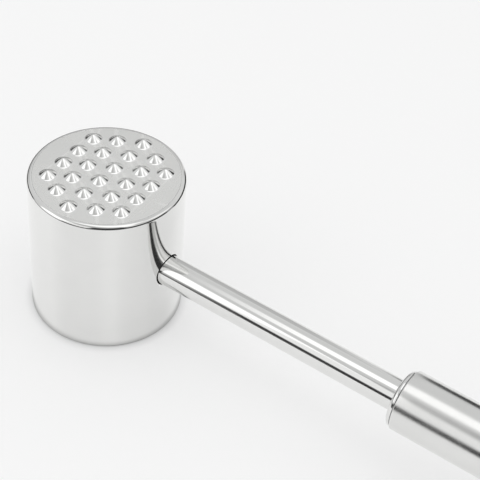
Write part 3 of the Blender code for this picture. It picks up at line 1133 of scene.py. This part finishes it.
@dataclass
class Neck:
    """The polished rod between the head and the handle, with its flat and its tang.

    Attributes:
        radius: Radius of the rod.
        inner_end: Where it ends inside the head.
        shoulder: Where it ends in the front cap.
        end_chamfer: Broken edge at both its ends.
        tang_radius: Radius of the tang.
        tang_end: Where the tang ends.
        tang_chamfer: Broken edge at that end.
        flat_height: Height of the flat that the set screw bears on.
        flat_place: Middle of the flat, from the head's axis.
        flat_length: Length of the flat.
        flat_cutter: Width and height of the block that cuts it.
        columns: Columns round the rod.
        rod_steps: Rows of the rod.
        tang_steps: Rows of the tang.
    """

    radius: float = 0.0050
    inner_end: float = 0.0080
    shoulder: float = 0.1129
    end_chamfer: float = 0.0005
    tang_radius: float = 0.0030
    tang_end: float = 0.1309
    tang_chamfer: float = 0.0006
    flat_height: float = 0.0305
    flat_place: float = 0.0160
    flat_length: float = 0.0070
    flat_cutter: tuple[float, float] = (0.02, 0.004)
    columns: int = 192
    rod_steps: int = 24
    tang_steps: int = 4

    def _flat(self) -> bpy.types.Mesh:
        """Makes the block that cuts the flat for the set screw.

        Returns:
            The mesh.
        """
        width, height = self.flat_cutter
        middle = Matrix.Translation((self.flat_place, 0, self.flat_height + height / 2))
        size = Matrix.Diagonal((self.flat_length, width, height, 1))
        shape = bmesh.new()
        bmesh.ops.create_cube(shape, size=1, matrix=middle @ size)
        flat = bpy.data.meshes.new("flat")
        shape.to_mesh(flat)
        shape.free()
        return flat

    def build(self, finishes: Finishes) -> None:
        """Builds and dresses the rod.

        Args:
            finishes: Materials of the mallet.
        """
        tang_top = (self.tang_radius, self.tang_end - self.tang_chamfer)
        rod_top = (self.radius, self.shoulder - self.end_chamfer)
        rod_foot = (self.radius, self.inner_end + self.end_chamfer)
        section = [(0.0, self.tang_end), (self.tang_radius - self.tang_chamfer, self.tang_end)]
        section += [tang_top]
        section += line(tang_top, (self.tang_radius, self.shoulder), self.tang_steps)
        section += [(self.radius - self.end_chamfer, self.shoulder), rod_top]
        section += line(rod_top, rod_foot, self.rod_steps)
        section += [(self.radius - self.end_chamfer, self.inner_end), (0.0, self.inner_end)]
        mesh = lathe("neck_bar", section, self.columns)
        mesh.transform(rod_frame())
        rod = new_piece("neck_bar", mesh)
        cut(rod, [self._flat()])
        smooth(rod, weighted=True)
        coat(rod, finishes.rod)
        place(rod, "neck_rod")


@dataclass
class Handle:
    """The grip: a satin tube between two polished caps.

    Attributes:
        start: Front end of the tube.
        end: Rear end of the tube.
        radius: Outer radius of the tube.
        wall: Thickness of its wall.
        edge_rounding: Radius of its outer edges.
        cap_radius: Radius of the caps.
        cap_rounding: Radius of their outer edge.
        cap_crown: How far the middle of a cap's face stands out.
        cap_gap: Seam between a cap and the tube.
        cap_back_chamfer: Broken edge at the seam.
        front_face: Edge of the front cap's face.
        rear_edge: Where the rear cap's rounding starts.
        rear_face: Edge of the rear cap's face.
        rod_bore: Radius of the front cap's bore for the rod.
        rod_bore_chamfer: Broken edge of that bore.
        tang_bore: Radius of its bore for the tang.
        shoulder: Where the wide bore ends.
        plug_radius: Radius of the plugs inside the tube.
        plug_length: How far a plug reaches into the tube.
        plug_chamfer: Broken edge of a plug's end.
        rear_plug_bore: Radius of the hollow in the rear plug.
        rear_inside: Where that hollow ends.
        leg_spacing: Distance between the holes for the loop's legs.
        leg_hole_radius: Radius of these holes.
        leg_hole_reach: Where the cutters of these holes start and end.
        finish_margin: How far outside the seams the turned finish starts.
        bore_margin: How much wider than the rod's bore the turned finish reaches.
        columns: Columns of the tube and the caps round their axis.
        hole_columns: Columns of the legs' holes.
        edge_steps: Chords of the tube's rounded edges.
        outside_steps: Rows of the tube's outer side.
        inside_steps: Rows of its inner side.
        cap_steps: Chords of the caps' rounding.
        front_steps: Rings of the front cap's face.
        rear_steps: Rings of the rear cap's face.
    """

    start: float = 0.1117
    end: float = 0.2317
    radius: float = 0.00955
    wall: float = 0.0008
    edge_rounding: float = 0.0003
    cap_radius: float = 0.0090
    cap_rounding: float = 0.0012
    cap_crown: float = 0.0004
    cap_gap: float = 0.0003
    cap_back_chamfer: float = 0.00004
    front_face: float = 0.1099
    rear_edge: float = 0.2348
    rear_face: float = 0.2360
    rod_bore: float = 0.0052
    rod_bore_chamfer: float = 0.00015
    tang_bore: float = 0.0033
    shoulder: float = 0.1132
    plug_radius: float = 0.00845
    plug_length: float = 0.0100
    plug_chamfer: float = 0.0004
    rear_plug_bore: float = 0.00705
    rear_inside: float = 0.2308
    leg_spacing: float = 0.0104
    leg_hole_radius: float = 0.00150
    leg_hole_reach: tuple[float, float] = (0.229, 0.238)
    finish_margin: float = 0.00001
    bore_margin: float = 1.01
    columns: int = 256
    hole_columns: int = 64
    edge_steps: int = 8
    outside_steps: int = 24
    inside_steps: int = 12
    cap_steps: int = 14
    front_steps: int = 6
    rear_steps: int = 8

    def build_tube(self, finishes: Finishes) -> None:
        """Builds the tube.

        Args:
            finishes: Materials of the mallet.
        """
        inner = self.radius - self.wall
        centre = self.radius - self.edge_rounding
        rear = self.end - self.edge_rounding
        front = self.start + self.edge_rounding
        section = [(inner, self.end)]
        section += arc((centre, rear), self.edge_rounding, 90, 0, self.edge_steps)
        section += line((self.radius, rear), (self.radius, front), self.outside_steps)
        section += arc((centre, front), self.edge_rounding, 0, -90, self.edge_steps)[1:]
        section += [(inner, self.start)]
        section += line((inner, self.start), (inner, self.end), self.inside_steps)[:-1]
        mesh = lathe("grip_tube", section, self.columns, ring=True)
        mesh.transform(rod_frame())
        tube = new_piece("grip_tube", mesh)
        smooth(tube)
        coat(tube, finishes.tube)
        place(tube, "handle_tube")

    def _finish_cap(self, cap: bpy.types.Object, finishes: Finishes) -> None:
        """Polishes a cap outside and leaves its plug and its bores as they were turned, in the
        darker plain steel that also paints the shade in the seam.

        Args:
            cap: The cap.
            finishes: Materials of the mallet.
        """
        coat(cap, finishes.rod, finishes.plain)
        front = self.start - self.cap_gap - self.finish_margin
        rear = self.end + self.cap_gap + self.finish_margin
        outer = self.cap_radius - self.cap_back_chamfer
        bore = self.bore_margin * self.rod_bore
        for face in cap.data.polygons:
            from_axis = off_rod_axis(face.center)
            # The plug shows in the seam, where its darker steel paints the seam's shade.
            plug = front < face.center.x < rear and from_axis < outer
            bored = from_axis < bore and face.center.x < self.start
            face.material_index = int(plug or bored)

    def build_front_cap(self, finishes: Finishes) -> None:
        """Builds the front cap round the rod.

        Args:
            finishes: Materials of the mallet.
        """
        back = self.start - self.cap_gap
        plug_end = self.start + self.plug_length
        centre = self.cap_radius - self.cap_rounding
        edge = self.front_face + self.cap_rounding
        crown = self.front_face - self.cap_crown
        mouth = (self.rod_bore + self.rod_bore_chamfer, crown)
        section = [(self.tang_bore, plug_end), (self.plug_radius - self.plug_chamfer, plug_end)]
        section += [(self.plug_radius, plug_end - self.plug_chamfer), (self.plug_radius, back)]
        section += [(self.cap_radius - self.cap_back_chamfer, back)]
        section += [(self.cap_radius, back - self.cap_back_chamfer)]
        section += arc((centre, edge), self.cap_rounding, 0, -90, self.cap_steps)
        section += line((centre, self.front_face), mouth, self.front_steps)
        section += [(self.rod_bore, crown + self.rod_bore_chamfer)]
        section += [(self.rod_bore, self.shoulder), (self.tang_bore, self.shoulder)]
        mesh = lathe("front_cap", section, self.columns, ring=True)
        mesh.transform(rod_frame())
        cap = new_piece("front_cap", mesh)
        smooth(cap)
        self._finish_cap(cap, finishes)
        place(cap, "handle_front_cap")

    def build_rear_cap(self, finishes: Finishes) -> None:
        """Builds the rear cap with the holes for the loop.

        Args:
            finishes: Materials of the mallet.
        """
        back = self.end + self.cap_gap
        plug_end = self.end - self.plug_length
        centre = self.cap_radius - self.cap_rounding
        top = (0.0, self.rear_face + self.cap_crown)
        section = [top]
        section += line(top, (centre, self.rear_face), self.rear_steps)[:-1]
        section += arc((centre, self.rear_edge), self.cap_rounding, 90, 0, self.cap_steps)
        section += [(self.cap_radius, back + self.cap_back_chamfer)]
        section += [(self.cap_radius - self.cap_back_chamfer, back)]
        section += [(self.plug_radius, back), (self.plug_radius, plug_end + self.plug_chamfer)]
        section += [(self.plug_radius - self.plug_chamfer, plug_end)]
        section += [(self.rear_plug_bore, plug_end)]
        section += [(self.rear_plug_bore, self.rear_inside), (0.0, self.rear_inside)]
        mesh = lathe("rear_cap", section, self.columns)
        mesh.transform(rod_frame())
        cap = new_piece("rear_cap", mesh)
        holes = []
        for side in (-1, 1):
            hole_section = post(self.leg_hole_radius, *self.leg_hole_reach)
            hole = lathe("leg_hole", hole_section, self.hole_columns)
            aside = Matrix.Translation((0, side * self.leg_spacing / 2, 0))
            hole.transform(aside @ rod_frame())
            holes.append(hole)
        cut(cap, holes)
        smooth(cap, weighted=True)
        self._finish_cap(cap, finishes)
        place(cap, "handle_rear_cap")

    def build(self, finishes: Finishes) -> None:
        """Builds and dresses the tube and its caps.

        Args:
            finishes: Materials of the mallet.
        """
        self.build_tube(finishes)
        self.build_front_cap(finishes)
        self.build_rear_cap(finishes)


@dataclass
class HangingLoop:
    """The loop of round wire at the end of the handle.

    Attributes:
        wire_radius: Radius of the wire.
        bend_radius: Radius of its bend, and half the distance between its legs.
        leg_start: Where the legs start inside the rear cap.
        bend_start: Where the bend starts.
        bend_steps: Chords of the bend.
        columns: Columns round the wire.
    """

    wire_radius: float = 0.0014
    bend_radius: float = 0.0052
    leg_start: float = 0.2288
    bend_start: float = 0.2438
    bend_steps: int = 48
    columns: int = 48

    def _path(self) -> bpy.types.Curve:
        """Makes the path of the wire: a leg, the bend and the other leg.

        Returns:
            The curve.
        """
        points = [(self.leg_start, self.bend_radius)]
        for step in range(self.bend_steps + 1):
            angle = math.pi / 2 - math.pi * step / self.bend_steps
            x = self.bend_start + self.bend_radius * math.cos(angle)
            points.append((x, self.bend_radius * math.sin(angle)))
        points.append((self.leg_start, -self.bend_radius))
        path = bpy.data.curves.new("loop_wire", "CURVE")
        path.dimensions = "3D"
        spline = path.splines.new("POLY")
        spline.points.add(len(points) - 1)
        for spot, point in zip(spline.points, points):
            spot.co = (*point, ROD_AXIS_HEIGHT, 1)
        return path

    @staticmethod
    def _wire_tree() -> GeometryTree:
        """Builds the tree that sweeps the wire along its path.

        Returns:
            The tree.
        """
        inputs = {"Wire Radius": "Float", "Columns": "Int", "Steel": "Material"}
        tree = GeometryTree("Bent wire", inputs)
        circle = tree.result(
            "GeometryNodeCurvePrimitiveCircle",
            Resolution=tree.read("Columns"),
            Radius=tree.read("Wire Radius"),
        )
        swept = tree.result(
            "GeometryNodeCurveToMesh",
            Curve=tree.read("Geometry"),
            Profile_Curve=circle,
            Fill_Caps=True,
        )
        real = tree.result("GeometryNodeRealizeInstances", Geometry=swept)
        steel = tree.read("Steel")
        tree.finish(tree.result("GeometryNodeSetMaterial", Geometry=real, Material=steel))
        return tree

    def build(self, finishes: Finishes) -> None:
        """Bends the wire and dresses it.

        Args:
            finishes: Materials of the mallet.
        """
        values = {
            "Wire Radius": self.wire_radius,
            "Columns": self.columns,
            "Steel": finishes.rod,
        }
        loop = self._wire_tree().apply(new_piece("loop_wire", self._path()), values)
        turn_outwards(loop, merge=True)
        smooth(loop)
        place(loop, "hanging_loop")


def dress_inner_pieces(finishes: Finishes) -> None:
    """Gives the CAD nodes that stay, all hidden inside the head and the tube, their finish.

    Args:
        finishes: Materials of the mallet.
    """
    for node in ("rod_lock_screw", "tang_washer", "tang_nut"):
        coat(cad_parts[node], finishes.plain)
        LOG.info("%s: CAD node", node)


# Studio


@dataclass(frozen=True)
class SoftBox:
    """A lit panel out of the camera's view.

    Attributes:
        name: Name of the panel.
        azimuth: Direction from the mallet in degrees, anticlockwise from +X seen from above.
        elevation: Its height in degrees.
        distance: How far it stands.
        width: Its width in degrees.
        height: Its height in degrees.
        strength: Its radiance, where 1 is white.
        feather: Share of its half size that fades out.
    """

    name: str
    azimuth: float
    elevation: float
    distance: float
    width: float
    height: float
    strength: float
    feather: float


@dataclass(frozen=True)
class Flag:
    """A dark band round the mallet that only reflections show, as cards give steel its edges.

    Attributes:
        name: Name of the band.
        start: First azimuth in degrees.
        end: Last azimuth in degrees.
        distance: How far it stands.
        foot: Height of its lower edge.
        solid: Height up to which it is dark.
        top: Height where it has faded out.
        shade: Its radiance.
        feather: Degrees over which its first and last end fade out.
    """

    name: str
    start: float
    end: float
    distance: float
    foot: float
    solid: float
    top: float
    shade: float
    feather: tuple[float, float]


class StageMaterial(NodeWriter):
    """Writes a material of the stage from an empty tree.

    Attributes:
        material: The material.
    """

    def __init__(self, name: str) -> None:
        """Makes the material.

        Args:
            name: Name of the material.
        """
        self.material = bpy.data.materials.new(name)
        self.material.use_nodes = True
        super().__init__(self.material.node_tree)
        self.tree.nodes.clear()

    def across_and_up(self) -> tuple[bpy.types.NodeSocket, bpy.types.NodeSocket]:
        """Gives the two coordinates of a panel's UV map.

        Returns:
            How far across and how far up a point lies, from 0 to 1.
        """
        uv = self.node("ShaderNodeTexCoord").outputs["UV"]
        parts = self.node("ShaderNodeSeparateXYZ", Vector=uv).outputs
        return parts["X"], parts["Y"]

    def inward(self, value: bpy.types.NodeSocket) -> bpy.types.NodeSocket:
        """Gives how far a UV value lies from the edges, 0 at both edges and 1 in the middle."""
        return self.math("MULTIPLY", self.math("PINGPONG", value, 0.5), 2.0)

    def finish_panel(self, mask: bpy.types.NodeSocket, radiance: float) -> bpy.types.Material:
        """Makes the panel glow where its mask is 1 and clear where it is 0.

        Args:
            mask: The mask.
            radiance: Strength of the glow.

        Returns:
            The material.
        """
        clear = self.result("ShaderNodeBsdfTransparent")
        glow = self.result("ShaderNodeEmission", Strength=radiance)
        mixed = self.result("ShaderNodeMixShader", None, mask, clear, glow)
        self.node("ShaderNodeOutputMaterial", Surface=mixed)
        return self.material


@dataclass(frozen=True)
class PhotoCamera:
    """The camera, in the place that was fitted to the photograph.

    Attributes:
        sensor_width: Width of the frame in millimetres.
        focal_length: Focal length in millimetres.
        stand: Where the camera stands.
        right: Direction to the right of the picture.
        up: Direction to the top of the picture.
    """

    sensor_width: float = 36.0
    focal_length: float = 95.889
    stand: Triple = (0.195187, -0.238446, 0.308135)
    right: Triple = (0.818057, 0.570901, 0.069674)
    up: Triple = (-0.428780, 0.524652, 0.735451)

    def build(self) -> None:
        """Sets the camera up."""
        data = bpy.data.cameras.new("camera")
        data.sensor_width = self.sensor_width
        data.lens = self.focal_length
        camera = bpy.data.objects.new("camera", data)
        bpy.context.scene.collection.objects.link(camera)
        right, up = Vector(self.right), Vector(self.up)
        turned = Matrix((right, up, right.cross(up))).transposed().to_4x4()
        camera.matrix_world = Matrix.Translation(self.stand) @ turned
        bpy.context.scene.camera = camera


@dataclass(frozen=True)
class Studio:
    """The pale floor and the light, round the mallet.

    Attributes:
        target: Middle of the mallet, which the panels stand round.
        floor_colour: Grey of the floor.
        floor_glow: What the camera sees on top of the floor's own light.
        floor_shine: What the steel sees on top of it.
        floor_rings: Radii of the floor's rings.
        floor_columns: Columns of the floor.
        floor_drop: How far the floor lies under the mallet.
        painted_shadow_reach: Distance from the head's axis where the painted contact shadow on the
            floor ends, and its full reach.
        painted_shadow_glow: Share of the glow that is left under the head, which paints the contact
            shadow.
        world_colour: Colour of the room's light.
        world_front: Strength of the room's light on the camera's side.
        world_back: Its strength on the far side.
        flag_steps: Chords of a dark band.
        boxes: The lit panels.
        flags: The dark bands.
    """

    target: Triple = (0.05, 0.0, 0.03)
    floor_colour: float = 0.55
    floor_glow: float = 0.435
    floor_shine: float = 0.50
    floor_rings: Triple = (0.0, 0.4, 3.0)
    floor_columns: int = 96
    floor_drop: float = 0.0001
    painted_shadow_reach: tuple[float, float] = (0.0243, 0.0280)
    painted_shadow_glow: float = 0.70
    world_colour: Triple = (0.995, 1.0, 1.0)
    world_front: float = 0.70
    world_back: float = 0.80
    flag_steps: int = 48
    # Name, azimuth, elevation, distance, width, height, strength and feather.
    boxes: tuple[SoftBox, ...] = (
        SoftBox("box_above", 0, 88, 0.9, 38, 57, 1.38, 0.45),
        SoftBox("box_front_left", -130, 33, 0.9, 40, 44, 1.40, 0.3),
        SoftBox("box_front", -96, 31, 0.9, 34, 36, 1.05, 0.25),
        SoftBox("box_front_right", -17, 61, 0.9, 16, 28, 1.40, 0.3),
        SoftBox("box_right", 40, 49, 0.9, 32, 34, 1.15, 0.3),
    )
    # Name, start, end, distance, foot, solid, top, shade and feather.
    flags: tuple[Flag, ...] = (
        Flag("flag_left", 126, 206, 0.62, 0.0, 0.14, 0.21, 0.02, (6, 8)),
        Flag("flag_back_grey", 100, 176, 0.64, 0.0, 0.34, 0.54, 0.58, (8, 10)),
        Flag("flag_front_left", 200, 262, 0.50, 0.0, 0.045, 0.085, 0.12, (6, 6)),
        Flag("flag_front", 240, 290, 0.60, 0.0, 0.15, 0.25, 0.04, (10, 8)),
        Flag("flag_gap", 246, 284, 0.60, 0.74, 1.10, 1.40, 0.50, (6, 6)),
        Flag("flag_camera", 279, 340, 0.64, 0.055, 0.44, 1.20, 0.05, (8, 12)),
        Flag("flag_right", 328, 397, 0.67, 0.055, 0.28, 0.55, 0.02, (10, 6)),
        Flag("flag_right_grey", 388, 412, 0.68, 0.055, 0.28, 0.50, 0.40, (6, 6)),
        Flag("flag_back_right", 404, 460, 0.60, 0.0, 0.20, 0.30, 0.00, (4, 4)),
        Flag("flag_back", 476, 492, 0.60, 0.0, 0.12, 0.19, 0.10, (4, 4)),
    )

    @staticmethod
    def _panel(
        name: str, corners: Sequence[Vector], material: bpy.types.Material
    ) -> bpy.types.Object:
        """Makes a panel of the stage with a UV map over its whole area.

        Args:
            name: Name of the panel.
            corners: Its columns of lower and upper points.
            material: Its material.

        Returns:
            The object.
        """
        mesh = bpy.data.meshes.new(name)
        columns = len(corners) // 2
        faces = [(2 * i, 2 * i + 2, 2 * i + 3, 2 * i + 1) for i in range(columns - 1)]
        mesh.from_pydata([tuple(corner) for corner in corners], [], faces)
        layer = mesh.uv_layers.new(name="UVMap")
        for loop in mesh.loops:
            column, row = divmod(loop.vertex_index, 2)
            layer.data[loop.index].uv = (column / (columns - 1), row)
        mesh.materials.append(material)
        panel = new_piece(name, mesh)
        panel.visible_camera = False
        return panel

    def add_box(self, box: SoftBox) -> None:
        """Adds one lit panel.

        Args:
            box: The panel.
        """
        azimuth, elevation = math.radians(box.azimuth), math.radians(box.elevation)
        level = math.cos(elevation)
        back = Vector((math.cos(azimuth) * level, math.sin(azimuth) * level, math.sin(elevation)))
        across = Vector((-math.sin(azimuth), math.cos(azimuth), 0))
        upward = back.cross(across)
        half_width = box.distance * math.tan(math.radians(box.width / 2))
        half_height = box.distance * math.tan(math.radians(box.height / 2))
        centre = Vector(self.target) + back * box.distance
        corners = [
            centre + across * (side * half_width) + upward * (row * half_height)
            for side in (-1, 1)
            for row in (-1, 1)
        ]
        writer = StageMaterial(box.name)
        masks = [
            writer.spread(writer.inward(value), 0.0, box.feather, eased=True)
            for value in writer.across_and_up()
        ]
        mask = writer.math("MULTIPLY", *masks)
        self._panel(box.name, corners, writer.finish_panel(mask, box.strength))

    def add_flag(self, flag: Flag) -> None:
        """Adds one dark band, which neither lights nor shades anything.

        Args:
            flag: The band.
        """
        target = Vector(self.target)
        width = flag.end - flag.start
        corners = []
        for step in range(self.flag_steps + 1):
            angle = math.radians(flag.start + width * step / self.flag_steps)
            x = target.x + flag.distance * math.cos(angle)
            y = target.y + flag.distance * math.sin(angle)
            corners += [Vector((x, y, flag.foot)), Vector((x, y, flag.top))]
        writer = StageMaterial(flag.name)
        across, up = writer.across_and_up()
        solid = (flag.solid - flag.foot) / (flag.top - flag.foot)
        first = writer.spread(across, 0.0, flag.feather[0] / width, eased=True)
        last = writer.spread(across, 1.0, 1.0 - flag.feather[1] / width, eased=True)
        upper = writer.spread(up, 1.0, solid, eased=True)
        mask = writer.math("MULTIPLY", upper, writer.math("MULTIPLY", first, last))
        band = self._panel(flag.name, corners, writer.finish_panel(mask, flag.shade))
        band.visible_diffuse = False
        band.visible_shadow = False

    def _floor_material(self) -> bpy.types.Material:
        """Makes the floor's material, which keeps the shadow, adds a painted contact shadow round
        the head and looks white to camera and steel.

        Returns:
            The material.
        """
        writer = StageMaterial("pale_floor")
        path = writer.node("ShaderNodeLightPath").outputs
        spot = writer.node("ShaderNodeTexCoord").outputs["Object"]
        length = writer.vectors("LENGTH", spot).outputs["Value"]
        # The glow and the shine fade near the head: a painted contact shadow on the floor, which the
        # steel also shows in its reflection.
        clear_of_painted_shadow = writer.spread(length, *self.painted_shadow_reach, eased=True)
        shaded = self.painted_shadow_glow * self.floor_glow
        seen = writer.spread(clear_of_painted_shadow, 0.0, 1.0, shaded, self.floor_glow)
        shine = writer.math("MULTIPLY", path["Is Glossy Ray"], self.floor_shine)
        shine = writer.math("MULTIPLY", shine, clear_of_painted_shadow)
        level = writer.math("MULTIPLY_ADD", path["Is Camera Ray"], seen, shine)
        grey = (*[self.floor_colour] * 3, 1)
        matt = writer.result("ShaderNodeBsdfDiffuse", Color=grey)
        glow = writer.result("ShaderNodeEmission", Color=(1, 1, 1, 1), Strength=level)
        both = writer.result("ShaderNodeAddShader", None, matt, glow)
        writer.node("ShaderNodeOutputMaterial", Surface=both)
        return writer.material

    def add_floor(self) -> None:
        """Adds the pale floor."""
        section = [(radius, 0.0) for radius in self.floor_rings]
        mesh = lathe("floor", section, self.floor_columns)
        mesh.transform(Matrix.Translation((self.target[0], 0, -self.floor_drop)))
        if mesh.polygons[0].normal.z < 0:
            mesh.flip_normals()
        mesh.materials.append(self._floor_material())
        new_piece("floor", mesh)

    def add_world(self) -> None:
        """Adds the even pale light of the room."""
        world = bpy.data.worlds.new("studio")
        world.use_nodes = True
        writer = NodeWriter(world.node_tree)
        direction = writer.node("ShaderNodeTexCoord").outputs["Generated"]
        far = writer.node("ShaderNodeSeparateXYZ", Vector=direction).outputs["Y"]
        level = writer.spread(far, -1.0, 1.0, self.world_front, self.world_back)
        background = world.node_tree.nodes["Background"]
        writer.feed(background.inputs["Color"], (*self.world_colour, 1))
        writer.feed(background.inputs["Strength"], level)
        bpy.context.scene.world = world

    def build(self) -> None:
        """Builds the studio."""
        PhotoCamera().build()
        self.add_floor()
        self.add_world()
        for box in self.boxes:
            self.add_box(box)
        for flag in self.flags:
            self.add_flag(flag)
        bpy.context.scene.view_settings.view_transform = "Standard"


def main() -> None:
    """Builds the mallet's looks and the studio."""
    logging.basicConfig(level=logging.INFO, format="%(name)s: %(message)s")
    finishes = Finishes()
    StrikingHead().build(finishes)
    Neck().build(finishes)
    Handle().build(finishes)
    HangingLoop().build(finishes)
    dress_inner_pieces(finishes)
    Studio().build()


if __name__ == "__main__":
    main()
